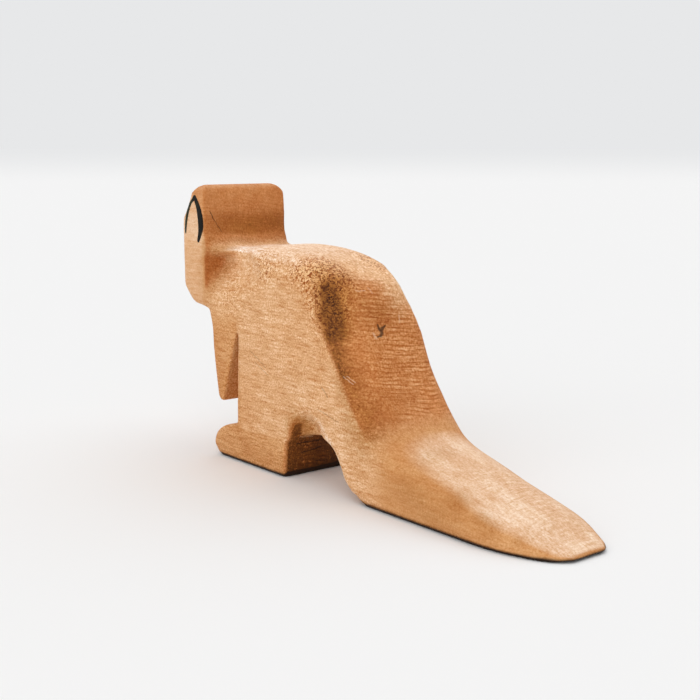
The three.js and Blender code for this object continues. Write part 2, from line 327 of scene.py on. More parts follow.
# Noises in the wood: how fast each changes along the figure, across it and upwards, where 100 is about
# every 20 mm, then its detail and its roughness
GRAIN = {
    "wander": ((30, 36, 25), 1, 0.5),
    "wave": ((90, 110, 200), 1, 0.5),
    "line_patches": ((160, 160, 240), 2, 0.5),
    "ring_patches": ((110, 110, 90), 2, 0.5),
    "fibres": ((230, 1900, 1900), 3, 0.7),
    "long_fibres": ((45, 600, 600), 3, 0.6),
    "pores": ((420, 2500, 2500), 1, 0.5),
    "patches": ((60, 110, 110), 4, 0.6),
    "drift": ((22, 40, 40), 1, 0.5),
    "combed": ((1500, 220, 0), 1, 0.5),
    "speckle": ((2000, 2000, 2000), 1, 0.7),
    "blotches": ((190, 190, 190), 3, 0.6),
}

# The growth rings sway by this much in all, and rise by this share towards the figure's left
RING_SWAY = 3.4 * MM
RING_RISE = 0.115

# The darkest and lightest that the grain makes the wood, as a share of its colour
SHADE_RANGE = (0.25, 1.75)

# What mark_wood writes at each point of the body, and oiled_wood reads
WOOD_MAPS = (
    "across", "warm", "stain_and_shade", "wear_and_highlight", "curly", "strokes", "coarse", "ringed", "tone_and_shade", "arch_wall_shade",
)


def oiled_wood(settings):
    """Close-grained tan hardwood with the rings nearly level and the fibres along the figure."""
    material, tree = new_material("oiled_wood")
    here = tree.add("ShaderNodeTexCoord").outputs["Object"]
    (across, warm, stain_and_shade, wear_and_highlight, curly, strokes, coarse, ringed, tone_and_shade, arch_wall_shade) = map(tree.attribute, WOOD_MAPS)

    def grain(name):
        scale, detail, roughness = GRAIN[name]
        return tree.noise(tree.mapping(here, scale), detail=detail, roughness=roughness)

    # Growth rings: nearly level sheets through the plank, a little wavy
    sway = tree.line(grain("wander"), RING_SWAY, -0.5 * RING_SWAY)
    split = tree.add("ShaderNodeSeparateXYZ", {"Vector": here}).outputs
    depth = tree.math("ADD", tree.line(split["Y"], -RING_RISE, split["Z"]), sway)
    layers = tree.add("ShaderNodeCombineXYZ", {
        "X": tree.times(split["X"], 0.04), "Y": tree.times(split["Y"], 0.08), "Z": depth,
    }).outputs[0]
    spacing = settings.ring_spacing
    fine_rings = tree.noise(layers, scale=2.9 / spacing, detail=1, roughness=0.7)
    broad_rings = tree.noise(layers, scale=0.8 / spacing, detail=2)
    ring_patches = tree.between(grain("ring_patches"), 0.35, 0.65)

    # Some rings show as even lines, in patches
    phase = tree.line(depth, 2 * math.pi / spacing, tree.times(grain("wave"), 10.0))
    ring_lines = tree.between(tree.math("SINE", phase), 0.95, -0.1)
    line_patches = tree.between(grain("line_patches"), 0.4, 0.6)
    line_share = tree.times(ringed, tree.line(line_patches, 0.8, 0.2))

    # Fibres and pores run along the figure, and curls and blotches every way
    fibres = grain("fibres")
    pore_marks = tree.between(grain("pores"), 0.58, 0.68)
    patches = grain("patches")
    speckle = grain("speckle")
    blotches = grain("blotches")
    combed = grain("combed")
    curl = tree.noise(here, scale=1600, detail=1, roughness=0.6, distortion=1.2)

    # The wood's own colour, then paler where worn and where highlights are painted, golden, darker in tones
    # and painted shade, and stained with oil, dirt and painted shade
    side = tree.mix(patches, settings.side_dark, settings.side_light)
    side = tree.mix(warm, side, settings.warm_colour)
    ends = tree.mix(patches, settings.end_dark, settings.end_light)
    base = tree.mix(across, side, ends)
    # Paler where worn, and painted highlights on the tops of the tail and the neck and along the rim behind
    # the leg
    worn = tree.times(wear_and_highlight, tree.between(patches, 0.38, 0.6, 0.6, 1.0))
    base = tree.mix(worn, base, settings.wear_and_highlight_colour)
    base = tree.mix(tree.times(curly, 0.75), base, settings.curl_colour)
    # Darker tones, partly the wood's own and partly painted shade in the hollow, the neck, the cove over the
    # arch and under the tail's tip
    tone_and_shade_mottle = tree.line(blotches, 1.6, tree.line(curl, 1.2, -0.4))
    uneven_tone_and_shade = tree.times(tone_and_shade, tone_and_shade_mottle, clamp=True)
    base = tree.mix(uneven_tone_and_shade, base, tree.mix(1.0, base, settings.tone_and_shade_colour, "MULTIPLY"))
    # Stain of oil and dirt together with painted shade in the hollows, the neck and under the arch, and a
    # painted contact shadow on the under-edges
    stain_and_shade_mottle = tree.line(blotches, 1.4, tree.line(curl, 2.2, -0.8))
    uneven_stain_and_shade = tree.times(stain_and_shade, stain_and_shade_mottle, clamp=True)
    stain_and_shade_share = tree.math("POWER", tree.times(uneven_stain_and_shade, 1.15, clamp=True), 1.2)
    base = tree.mix(stain_and_shade_share, base, settings.stain_and_shade_colour)
    base = tree.mix(tree.between(uneven_stain_and_shade, 0.6, 1.15), base, settings.deep_stain_and_shade_colour)

    # How strongly each noise lightens and darkens it
    lively = tree.line(coarse, 0.55, 0.45)
    ring_share = tree.times(tree.line(ringed, 0.9, 0.1), tree.line(ring_patches, 0.6, 0.4))
    ring_share = tree.times(ring_share, tree.line(coarse, 0.4, 0.6))
    swings = (
        (fibres, tree.times(lively, 1.35)),
        (grain("long_fibres"), 0.5),
        (speckle, tree.times(lively, tree.line(across, -0.5, 1.5))),
        (blotches, 0.3),
        (pore_marks, tree.times(lively, -0.24)),
        (fine_rings, tree.times(ring_share, 1.5)),
        (ring_lines, tree.times(line_share, 0.32)),
        (broad_rings, tree.times(ring_share, 0.35)),
        (curl, tree.times(curly, 7.0)),
        (combed, tree.times(strokes, 0.7)),
    )
    shade = tree.swing(grain("drift"), 0.55)
    for value, amount in swings:
        shade = tree.times(shade, tree.swing(value, amount))
    shade = tree.math("MINIMUM", tree.math("MAXIMUM", shade, SHADE_RANGE[0]), SHADE_RANGE[1])

    # Darker wood is redder: blue falls the fastest and red the slowest
    depth_of_tone = tree.line(across, 0.35, 1.15)
    red_share = tree.line(stain_and_shade, 0.3, 0.5)
    blue_share = tree.line(stain_and_shade, -0.45, 1.65)
    shade_colour = tree.add("ShaderNodeCombineColor", {
        "Red": tree.math("POWER", shade, tree.times(depth_of_tone, red_share)),
        "Green": tree.math("POWER", shade, depth_of_tone),
        "Blue": tree.math("POWER", shade, tree.times(depth_of_tone, blue_share)),
    }).outputs[0]
    colour = tree.mix(1.0, base, shade_colour, "MULTIPLY")

    # Nicks, scratches and checks from years of handling
    jitter = tree.add("ShaderNodeTexNoise", {"Vector": here, "Scale": 700.0, "Detail": 2.0}).outputs["Color"]
    jitter = tree.vector("SUBTRACT", {0: jitter, 1: (0.5, 0.5, 0.5)})
    jitter = tree.vector("SCALE", {0: jitter, "Scale": MARK_WAVER})
    rough_here = tree.vector("ADD", {0: here, 1: jitter})
    dark_side = tree.times(scratches(tree, rough_here, SIDE_FLAT, DARK_SIDE_MARKS), SIDE_MARKS)
    dark_marks = tree.math("MAXIMUM", scratches(tree, rough_here, BACK_FLAT, DARK_BACK_MARKS), dark_side)
    pale_marks = tree.math("MAXIMUM", scratches(tree, rough_here, BACK_FLAT, PALE_BACK_MARKS),
                           scratches(tree, rough_here, SIDE_FLAT, PALE_SIDE_MARKS))
    colour = tree.mix(tree.times(dark_marks, DARK_MARKS), colour, settings.shade_and_nick_colour)
    colour = tree.mix(tree.times(pale_marks, PALE_MARKS), colour, settings.wear_and_highlight_colour)

    # Painted contact shadow along the edges it stands on, reaching highest on the heel's wall, and painted
    # shade on that wall under the arch
    low = tree.line(blotches, 0.6 * MM, split["Z"])
    low = tree.line(arch_wall_shade, -0.9 * MM, low)
    contact_shadow = tree.between(low, 1.7 * MM, 0.9 * MM)
    painted_arch_shade = tree.times(arch_wall_shade, tree.line(curl, 1.4, -0.2), clamp=True)
    colour = tree.mix(tree.math("MAXIMUM", contact_shadow, painted_arch_shade), colour, settings.shade_and_nick_colour)

    height = tree.times(fibres, 0.8)
    for value, amount in ((fine_rings, ring_share), (pore_marks, -0.7), (speckle, 0.5), (dark_marks, -2.5),
                          (curl, tree.times(curly, 3.0)), (combed, tree.times(strokes, 1.2))):
        height = tree.line(value, amount, height)
    roughness = tree.line(pore_marks, 0.2, tree.line(patches, 0.16, 0.46))
    tree.surface(colour, roughness, 0.14, height, settings.grain_relief, 0.1 * MM)
    return material


def brush_paint(settings):
    """Thin black paint, worn thin in patches and on the ear's thin front stroke, and dragged by the brush."""
    material, tree = new_material("brush_paint")
    here = tree.add("ShaderNodeTexCoord").outputs["Object"]
    drag = tree.noise(tree.mapping(here, (1500, 1500, 500)), detail=3, roughness=0.6)
    thin = tree.noise(here, scale=420, detail=3, roughness=0.55)
    worn = tree.math("ADD", tree.between(thin, 0.5, 0.8), tree.attribute("thin"), clamp=True)
    colour = tree.mix(worn, settings.paint_colour, settings.paint_thin_colour)
    tree.surface(colour, tree.line(thin, 0.3, 0.45), 0.12, drag, 0.5, 0.05 * MM)
    return material


# Carved body

EAR_NODES = ("ear_mark_left", "ear_mark_right")
EYE_NODES = ("eye_left", "eye_right")
NOSE_NODE = "nose_mark"

# Rear edge of the haunch in the side view, from its top down to the tail, in millimetres
HAUNCH_EDGE = (
    (-9.0, 60.0), (-12.0, 54.0), (-13.6, 47.6), (-17.2, 42.7), (-21.4, 36.4),
    (-25.6, 30.4), (-29.7, 23.9), (-33.7, 19.0), (-45.0, 13.0),
)

# Oil and dirt gathered in the hollow, darkened further as painted shade: lines in the side view, how wide and
# how strong
HOLLOW_STAIN_AND_SHADE = (
    (((-9.0, 60.5), (-14.0, 56.0)), 2.6, 0.3),
    (((-14.4, 54.5), (-17.2, 48.0), (-19.6, 42.0)), 3.4, 1.1),
    (((-19.6, 42.0), (-22.4, 36.9), (-24.6, 33.0)), 2.6, 0.75),
    (((-24.6, 33.0), (-29.8, 26.5), (-37.0, 19.5)), 2.6, 0.35),
)

# Darker warm tones, partly the wood's own and partly painted shade in the hollow, the neck, the cove over the
# arch and under the tail's tip: centre, reach along each axis, both in millimetres from the back of the heel,
# strength
TONES_AND_SHADE = (
    ((-25.0, 3.0, 49.0), (7.0, 8.0, 5.5), 0.9), ((-27.0, 13.0, 31.5), (4.5, 5.0, 7.0), 0.85),
    ((-17.5, 9.0, 54.0), (4.5, 4.0, 4.5), 0.8), ((-21.0, 9.5, 45.0), (4.0, 3.0, 6.0), 0.5),
    ((-33.5, 14.0, 21.0), (6.5, 7.0, 7.0), 1.1), ((-36.0, 5.0, 28.0), (6.0, 8.0, 4.0), 0.4),
    ((38.5, 13.0, 50.0), (4.0, 6.0, 7.0), 0.6), ((12.0, 15.0, 3.0), (24.0, 5.0, 5.0), 0.2),
    ((-66.0, 11.5, 9.0), (3.5, 2.5, 3.0), 0.45), ((-74.7, 12.4, 6.4), (2.5, 2.0, 3.0), 0.45),
    ((-78.0, 13.1, 5.0), (2.2, 2.0, 3.0), 0.5), ((-85.4, 11.8, 3.9), (1.4, 1.2, 1.5), 0.5),
    ((-50.0, 13.5, 8.0), (7.0, 4.0, 4.0), 0.5), ((-60.0, 13.5, 3.0), (8.0, 4.0, 3.0), 0.4),
    ((-3.4, 12.0, 15.5), (2.6, 7.0, 4.5), 1.0), ((-51.0, 5.0, 15.5), (3.0, 6.0, 3.0), 0.35),
    ((-98.0, 0.0, 1.0), (2.0, 8.0, 1.2), 0.6), ((-6.5, 12.0, 15.0), (3.5, 5.0, 4.0), 0.7),
    ((-63.0, 13.0, 6.0), (10.0, 3.0, 4.0), 0.45),
)

# Patches of curly figure in the side view: centre, reach along X and Z, strength
CURLS = (
    ((-7.5, 59.0), (6.0, 4.0), 1.0),
    ((-14.0, 54.0), (5.0, 7.0), 0.7),
    ((-17.0, 50.0), (4.5, 6.0), 0.55),
    ((-19.5, 43.0), (4.0, 6.0), 0.4),
    ((-10.0, 16.5), (5.0, 4.0), 0.6),
    ((10.0, 58.0), (6.5, 4.0), 0.75),
    ((27.0, 48.0), (6.0, 7.0), 0.35),
)

# The rim behind the leg that handling has rubbed pale, with a painted highlight along it, in the side view,
# and how wide it is
RIM_WEAR_AND_HIGHLIGHT = ((-29.0, 0.5), (-27.2, 3.0), (-24.6, 7.2), (-21.4, 11.6), (-18.8, 15.2), (-15.5, 18.6))
RIM_WIDTH = 0.9

# How far the far side of the back stands out, near its top and below, in millimetres
TOP_SWELL = 1.4
LOW_SWELL = 0.65

# The share by which the tail thins to its tip
TIP_THINNING = 0.54

# The cove over the arch runs up into the haunch: how deep, in millimetres
COVE_DENT = 1.2

# Marks on the wood: start, end and width in millimetres, from the back of the heel. The flats say how
# much each axis counts on the rear of the figure and on its side
BACK_FLAT = (0.03, 1, 1)
SIDE_FLAT = (1, 0.03, 1)
DARK_BACK_MARKS = (
    ((-27.5, 4.7, 45.6), (-28.0, 4.5, 44.6), 0.4),
    ((-28.0, 4.5, 44.6), (-28.4, 4.0, 43.7), 0.75),
    ((-28.4, 4.0, 43.7), (-28.8, 4.7, 42.8), 0.6),
    ((-28.8, 4.7, 42.8), (-28.8, 5.6, 42.7), 0.3),
    ((-27.6, 2.4, 45.3), (-28.0, 3.5, 44.7), 0.4),
    ((-28.0, 3.5, 44.7), (-28.4, 4.1, 43.9), 0.6),
    ((40.2, 12.6, 72.6), (40.1, 10.8, 69.6), 0.14),
    ((40.1, 10.8, 69.6), (40.1, 8.8, 66.2), 0.12),
    ((-1.4, 10.7, 9.4), (-0.6, 3.0, 9.2), 0.3),
    ((0.5, 9.0, 6.4), (0.5, 2.0, 7.2), 0.25),
)
DARK_SIDE_MARKS = (
    ((-15.0, 15.0, 22.5), (-24.0, 15.0, 20.6), 0.14),
    ((-17.0, 15.0, 28.8), (-19.4, 15.0, 26.6), 0.3),
    ((16.0, 15.0, 34.0), (9.0, 15.0, 30.4), 0.17),
    ((14.0, 15.0, 31.0), (7.5, 15.0, 28.3), 0.15),
)
PALE_BACK_MARKS = (
    ((-25.2, 14.0, 32.6), (-27.0, 13.0, 31.0), 0.2),
    ((-26.2, 13.4, 32.8), (-26.9, 12.6, 31.4), 0.14),
    ((-21.4, 6.6, 54.1), (-21.5, 4.2, 54.1), 0.2),
    ((-20.9, 3.0, 54.6), (-22.2, 2.6, 53.4), 0.22),
    ((-26.5, -2.9, 47.5), (-27.4, -2.5, 45.7), 0.22),
    ((-28.6, 6.6, 43.6), (-28.8, 6.2, 42.5), 0.45),
    ((-0.9, 10.9, 11.7), (-0.3, 5.9, 10.9), 0.16),
)
PALE_SIDE_MARKS = (
    ((46.5, 15.0, 70.6), (41.0, 15.0, 70.9), 0.14),
)


def recess_floors():
    """Each recess as the box of its mark and the plane of its floor: the axis and the place along it."""
    floors = []
    for node in EAR_NODES + EYE_NODES:
        low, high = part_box(node)
        floors.append((low, high, 1, low.y if low.y > 0 else high.y))
    low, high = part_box(NOSE_NODE)
    floors.append((low, high, 0, low.x))
    return floors


def fill_recesses(piece):
    """Takes out the floor of each paint recess with its walls, and closes the wood flush over it."""
    margin = 0.45 * MM
    near = 0.02 * MM
    for low, high, axis, level in recess_floors():
        activate(piece)
        bpy.ops.object.mode_set(mode="EDIT")
        mesh = bmesh.from_edit_mesh(piece.data)
        found = 0
        for face in mesh.faces:
            inside = all(
                low[i] - margin < corner.co[i] < high[i] + margin
                for corner in face.verts for i in range(3)
            )
            on_floor = any(abs(corner.co[axis] - level) < near for corner in face.verts)
            if inside and on_floor:
                face.select_set(True)
                found += 1
        bmesh.update_edit_mesh(piece.data)
        if not found:
            raise RuntimeError("a paint recess wasn't found in the body")
        bpy.ops.mesh.delete(type="FACE")
        bpy.ops.mesh.select_non_manifold(use_wire=False, use_multi_face=False, use_non_contiguous=False,
                                         use_verts=False)
        bpy.ops.mesh.fill()
        bpy.ops.mesh.select_all(action="DESELECT")
        bpy.ops.object.mode_set(mode="OBJECT")


def colour_setting(name, description, default):
    return bpy.props.FloatVectorProperty(
        name=name, description=description, default=default, subtype="COLOR", size=3, min=0, max=1)


def length_setting(name, description, default, **limits):
    return bpy.props.FloatProperty(
        name=name, description=description, default=default, subtype="DISTANCE", unit="LENGTH", **limits)


class WallabyBodySettings(bpy.types.PropertyGroup):
    mesh_size: length_setting("Mesh size", "Size of the body's mesh faces", 0.56 * MM, min=0.4 * MM)
    ring_spacing: length_setting("Ring spacing", "Distance between growth rings", 1.1 * MM, min=0.1 * MM)
    grain_relief: bpy.props.FloatProperty(
        name="Grain relief", description="Strength of the grain's relief", default=0.55, min=0, max=1,
        subtype="FACTOR")
    side_light: colour_setting(
        "Side wood, light", "Lighter wood cut along the grain", (0.90, 0.535, 0.28))
    side_dark: colour_setting(
        "Side wood, dark", "Darker wood cut along the grain", (0.66, 0.325, 0.132))
    warm_colour: colour_setting(
        "Warm wood", "Wood of the tail's sides, the foot and the arms", (0.65, 0.30, 0.108))
    end_light: colour_setting(
        "End grain, light", "Lighter wood cut across the grain", (0.68, 0.26, 0.08))
    end_dark: colour_setting(
        "End grain, dark", "Darker wood cut across the grain", (0.50, 0.175, 0.048))
    # Paler wood where it is worn, which also gives the painted highlights on the tops of the tail and the
    # neck and on the rim behind the leg
    wear_and_highlight_colour: colour_setting(
        "Pale wood", "Worn wood and painted highlights on the tops of the tail and the neck", (0.88, 0.61, 0.41))
    # This darkening is oil and dirt in the hollow behind the haunch and also painted shade there, in the neck
    # and under the arch
    stain_and_shade_colour: colour_setting(
        "Stain", "Oil, dirt and painted shade in the hollows and under the arch", (0.31, 0.098, 0.015))
    # Tone also darkens where shade is painted: the hollow, the neck, the cove over the arch and under the
    # tail's tip
    tone_and_shade_colour: colour_setting(
        "Tone", "What the darker parts multiply the wood's colour by", (0.70, 0.58, 0.40))
    curl_colour: colour_setting(
        "Curly figure", "Golden wood where the grain curls", (0.66, 0.29, 0.085))
    # This near black gives the painted contact shadow along the edges it stands on and the painted shade on
    # the heel's wall under the arch, besides the dark marks
    shade_and_nick_colour: colour_setting(
        "Grime", "Painted contact shadow along the edges it stands on, painted shade under the arch, and the dark marks", (0.022, 0.009, 0.003))
    # The deep colour is mostly painted shade: on the heel's wall under the arch, the painted contact shadow
    # on the under-edges, and the darkest of the hollow
    deep_stain_and_shade_colour: colour_setting(
        "Deep stain", "Oil, dirt and painted shade where they are darkest", (0.145, 0.043, 0.006))


class WallabyPaintSettings(bpy.types.PropertyGroup):
    film: length_setting("Paint film", "How far the paint stands off the wood", 0.07 * MM)
    overrun: length_setting("Overrun", "How far the brush spread each mark", 0.25 * MM)
    thin_from: length_setting(
        "Thin stroke", "Where along the head the ear's thin front stroke starts", 61.5 * MM)
    mesh_size: length_setting("Mesh size", "Size of the paint's mesh faces", 0.16 * MM, min=0.08 * MM)
    paint_colour: colour_setting("Paint", "Colour of the paint where it is full", (0.006, 0.0045, 0.003))
    paint_thin_colour: colour_setting(
        "Thin paint", "Colour of the paint where it is thin", (0.026, 0.029, 0.014))


class WallabyStageSettings(bpy.types.PropertyGroup):
    floor_size: length_setting("Floor size", "Length of the floor's sides", 60.0)
    floor_colour: colour_setting("Floor", "Colour of the floor", (0.915, 0.915, 0.915))
    backdrop_colour: colour_setting("Backdrop", "Colour behind the figure", (0.80, 0.806, 0.815))
    floor_fade: length_setting(
        "Floor fade", "How far away the floor starts to fade into the backdrop", 2.6, min=0.1)
    top_strength: bpy.props.FloatProperty(
        name="Top light", description="Light that the soft lamp above gives a white surface",
        default=0.50, min=0)
    side_strength: bpy.props.FloatProperty(
        name="Side light", description="Light that the soft lamp beside gives a white surface",
        default=0.44, min=0)
    ambient: bpy.props.FloatProperty(
        name="Surrounding light", description="Strength of the light from all round",
        default=0.30, min=0, max=1)
    lens: bpy.props.FloatProperty(
        name="Lens", description="Focal length of the camera in millimetres", default=61.714)


def behind_haunch(x, z):
    """How far behind the rear edge of the haunch each point lies in the side view, in millimetres."""
    edge_x, edge_z = zip(*reversed(HAUNCH_EDGE))
    return np.interp(z, edge_z, edge_x) - x


# The masks below are in millimetres from the back of the heel: x along the figure, y to its left, z up.
# The near side is the figure's left, which the photo shows

def shape_forms(body):
    """Softens each cut as the carver's sanding did: the ridges a lot, the cut edges a little."""
    x, y, z = heel_frame(body)
    side = np.abs(y)
    near = smoothstep(-3, 3, y)
    carved = smoothstep(14.9, 13.6, side)

    # Outline of the chin and throat, and the far side of the back, which stands out a little more
    smooth_where(body, "chin", smoothstep(38, 42, x) * within(z, 41, 44, 55, 59), 25)
    swell = TOP_SWELL * bell(z, 54.5, 3.6) + LOW_SWELL * within(z, 27, 38, 49, 55)
    swell = swell * smoothstep(8, -2, y) * smoothstep(-8, -16, x)
    move_to(body, places(body) + normals(body) * (1, 0, 1) * swell[:, None] * MM)
    far_rump = smoothstep(-8, -14, x) * smoothstep(26, 32, z) * smoothstep(4, -4, y)
    smooth_where(body, "far rump", far_rump, 60)
    x, y, z = heel_frame(body)

    # Neck: a deep soft scoop, its outer edge against the cheek kept crisp
    cheek_edge = smoothstep(38.6, 39.4, x) * smoothstep(13.2, 14.4, side)
    neck = within(x, 4, 12, 40.2, 41) * within(z, 42, 46, 67, 72) * (1 - cheek_edge)
    smooth_where(body, "neck", neck, 70)
    scoop_top = smoothstep(20, 27, x) * within(z, 48, 53, 66, 70) * smoothstep(0, 5, y)
    smooth_where(body, "neck scoop", scoop_top * neck, 240)

    # Shoulder and the top of the hollow run together
    hump = within(x, -34, -28, 6, 14) * smoothstep(47, 52, z)
    smooth_where(body, "hump", hump * (0.15 + 0.85 * near), 60)

    # Hollow behind the haunch, and the ridge between it and the back
    hollow = smoothstep(0.4, 2.4, behind_haunch(x, z)) * smoothstep(15, 22, z) * carved
    smooth_where(body, "hollow", hollow * near, 260)
    smooth_where(body, "far hollow", hollow * (1 - near), 14)

    # Scoop behind the leg, which fades into the haunch, the cove over the arch, and the tail
    scoop = within(x, -26, -18, -6.4, -3.4) * within(z, 14.4, 17, 25, 30)
    smooth_where(body, "leg scoop", scoop, 60)
    cove = within(x, -27, -23, -3.5, -1.2) * within(z, 4, 8, 19, 24)
    smooth_where(body, "cove", cove * smoothstep(4, 8, side), 70)
    tail = within(x, -95, -88, -38, -26) * smoothstep(4, 7, z)
    smooth_where(body, "tail", tail * (0.25 + 0.75 * near), 50)

    # The tail thins to its tip, and the cove over the arch runs up into the haunch
    co = places(body)
    x, y, z = heel_frame(body)
    co[:, 2] *= 1 - TIP_THINNING * smoothstep(-82, -98, x)
    dent = bell(x, -9.5, 4.5) * bell(z, 16.0, 4.0) * smoothstep(8, 12, np.abs(y))
    co[:, 1] -= np.sign(y) * COVE_DENT * MM * dent
    move_to(body, co)

    # The edges it stands on are rounded, less towards the tip
    x, y, z = heel_frame(body)
    base = smoothstep(2.6, 1.8, z) * smoothstep(-0.97, -0.8, normals(body)[:, 2])
    base = base * np.maximum(smoothstep(24, 26, np.abs(x + 2.5)), smoothstep(-2, 0, x))
    base = base * (1 - 0.8 * smoothstep(-86, -94, x))
    smooth_where(body, "base edges", np.clip(2 * soften(body, base, 6), 0, 1), 40)


def mark_wood(body):
    """Writes how the wood lies at each point, and where shade and highlights are painted, for its colour."""
    x, y, z = heel_frame(body)
    side = np.abs(y)
    facing = normals(body)
    back_face = np.clip(-facing[:, 0], 0, 1)
    front_face = np.clip(facing[:, 0], 0, 1)
    up_face = np.clip(facing[:, 2], 0, 1)
    fuzz = np.interp(z, (40, 56), (0.6, 3.2))
    behind = smoothstep(-fuzz, fuzz, behind_haunch(x, z))

    # Wood cut across the grain: the back of the head, the rump and its hollows, the heel and the toe
    rump = smoothstep(13, 21, z + 0.4 * (x + 30)) * smoothstep(64, 56, z) * smoothstep(0.97, 0.72, up_face)
    seen = 1 - smoothstep(3, -6, y) * (1 - smoothstep(56, 45, z))
    ends = np.maximum(smoothstep(0.25, 0.85, back_face), 0.8 * smoothstep(0.3, 0.9, front_face))
    ends = ends * smoothstep(-60, -50, x) * (1 - smoothstep(16, 19, z) * smoothstep(36, 30, x))
    worn_corner = smoothstep(1.2, -0.8, x - 41 - 0.75 * (z - 70)) * smoothstep(69, 71, z)
    ends = np.maximum(ends, 0.8 * worn_corner)
    in_neck = smoothstep(25, 30, x) * smoothstep(67, 64, z) * smoothstep(13.8, 12.5, side)
    ends = ends + in_neck * (soften(body, ends, 16) - ends)
    across = np.maximum(ends, behind * rump * seen)
    set_attribute(body, "across", across)

    # The rings show most on the rump, less on its near edge and on the head
    near_edge = smoothstep(6.5, 10.5, y) * smoothstep(20, 10, x)
    set_attribute(body, "ringed", across * (1 - 0.7 * near_edge) * (1 - 0.7 * smoothstep(20, 30, x)))

    # Oil and dirt with painted shade in the hollow behind the haunch, painted shade in the neck, on the
    # heel's wall under the arch and in the cove over it, a painted contact shadow on the under-edges it
    # stands on, and darker wood across the back of the head and low on the foot
    stain_and_shade = np.zeros(len(x))
    for line, width, strength in HOLLOW_STAIN_AND_SHADE:
        stain_and_shade = np.maximum(stain_and_shade, strength * bell(distance_to_line(x, z, line), 0, width))
    stain_and_shade = stain_and_shade * behind * smoothstep(2, 6, side) * seen
    # Painted shade in the recess of the neck
    triangle = smoothstep(33.5, 37.5, x + 0.45 * (z - 52)) * smoothstep(40.8, 40.3, x)
    triangle = triangle * within(z, 45, 50, 60, 66) * smoothstep(6, 9.5, side)
    band = bell(z, 68.0, 3.4) * within(x, 39, 39.6, 40.8, 41.2) * back_face * smoothstep(14, -4, y)
    # Painted shade on the heel's wall under the arch, darkest low down and towards the middle
    heel = within(x, -7, -4, 1, 3) * smoothstep(17.5, 15.5, z) * smoothstep(0.3, 0.7, back_face)
    heel = heel * smoothstep(14.4, 13.2, y)
    heel = heel * (1.05 + 0.35 * smoothstep(5, 1.5, z) + 0.3 * smoothstep(10, 0, y))
    # Painted shade in the cove over the arch, and a painted contact shadow on the under-edges it stands on
    cove = within(x, -8, -3, -1, 2) * within(z, 4, 6, 17.5, 20.5) * smoothstep(14.8, 12.8, side)
    base = smoothstep(2.0, 1.2, z) * smoothstep(0.0, -0.4, facing[:, 2])
    foot = smoothstep(13, 5, z) * smoothstep(-2, 1, x)
    for part, strength in ((soften(body, triangle, 10), 0.12), (band, 0.55), (heel, 1),
                           (soften(body, cove, 6), 0.35), (base, 0.8), (foot, 0.14)):
        stain_and_shade = np.maximum(stain_and_shade, strength * part)
    set_attribute(body, "stain_and_shade", np.clip(stain_and_shade, 0, 1.4))

    # Darker tones, partly the wood's own and partly painted shade, and painted shade on the heel's wall under
    # the arch
    tone_and_shade = np.zeros(len(x))
    here = np.column_stack((x, y, z))
    for centre, reach, strength in TONES_AND_SHADE:
        tone_and_shade = tone_and_shade + strength * np.exp(-(((here - centre) / reach) ** 2).sum(axis=1))
    head_band = bell(z, 68.0, 3.6) * smoothstep(39, 39.6, x) * back_face * smoothstep(22, 4, y)
    fillet = bell(z, 63.5, 1.6) * within(x, 35, 38, 40, 41)
    for part, strength in ((head_band, 1.3), (fillet, 0.6), (soften(body, triangle, 6), 0.65)):
        tone_and_shade = np.maximum(tone_and_shade, strength * part)
    set_attribute(body, "tone_and_shade", np.clip(tone_and_shade, 0, 1))
    # Painted shade on the heel's wall under the arch, darkest low down and towards the middle
    wall = within(x, -5, -2, 0.5, 3) * smoothstep(14.7, 13.4, y) * smoothstep(17, 14, z)
    wall = wall * smoothstep(0.3, 0.7, back_face)
    set_attribute(body, "arch_wall_shade", wall * (0.38 + 0.5 * smoothstep(6, 1.5, z) + 0.35 * smoothstep(8, -6, y)))

    # Pale worn tops with painted highlights on the tail's top and the neck's top, the rim behind the leg,
    # rubbed pale and with a painted highlight, and the cheek
    tail_top = smoothstep(-38, -50, x) * smoothstep(0.72, 0.97, up_face)
    neck_top = within(x, -16, 2, 36, 41) * smoothstep(0.35, 0.8, up_face) * smoothstep(55, 60, z)
    near_head = smoothstep(30, 36, x)
    neck_top = neck_top * (1 - smoothstep(60.5, 62.5, z) * near_head) * (1 - smoothstep(6, 11, y) * near_head)
    neck_top = neck_top * (0.5 + 0.8 * smoothstep(10, 26, x))
    rim = bell(distance_to_line(x, z, RIM_WEAR_AND_HIGHLIGHT), 0, RIM_WIDTH) * smoothstep(10, 13, side)
    cheek = smoothstep(40.6, 41.6, x) * smoothstep(14.4, 14.8, side) * (0.22 + 0.25 * smoothstep(63, 66, z))
    cheek = cheek * (1 - worn_corner)
    wear_and_highlight = np.maximum.reduce((tail_top, soften(body, neck_top, 8), 0.55 * rim, cheek))
    set_attribute(body, "wear_and_highlight", np.clip(wear_and_highlight, 0, 1))

    # Warmer wood on the tail, the foot, the arms and low on the haunch
    warm = 0.12 + smoothstep(-34, -46, x) + 1.3 * smoothstep(13, 6, z) * smoothstep(-5, 2, x)
    warm = warm + smoothstep(20, 25, x) * smoothstep(48, 38, z)
    warm = warm + 0.3 * smoothstep(30, 18, z) * smoothstep(-12, -4, x)
    set_attribute(body, "warm", np.clip(warm, 0, 1))

    # Curly figure, the comb of fine strokes on the tail's end, and where the grain is coarse
    curly = np.zeros(len(x))
    for centre, reach, strength in CURLS:
        curly = curly + strength * bell(x, centre[0], reach[0]) * bell(z, centre[1], reach[1])
    set_attribute(body, "curly", np.clip(curly, 0, 1) * smoothstep(2, 7, side))
    strokes = smoothstep(-56, -66, x) * smoothstep(0.6, 0.9, up_face) * smoothstep(9, 3, y)
    set_attribute(body, "strokes", strokes)
    set_attribute(body, "coarse", within(x, -46, -30, 36, 41))


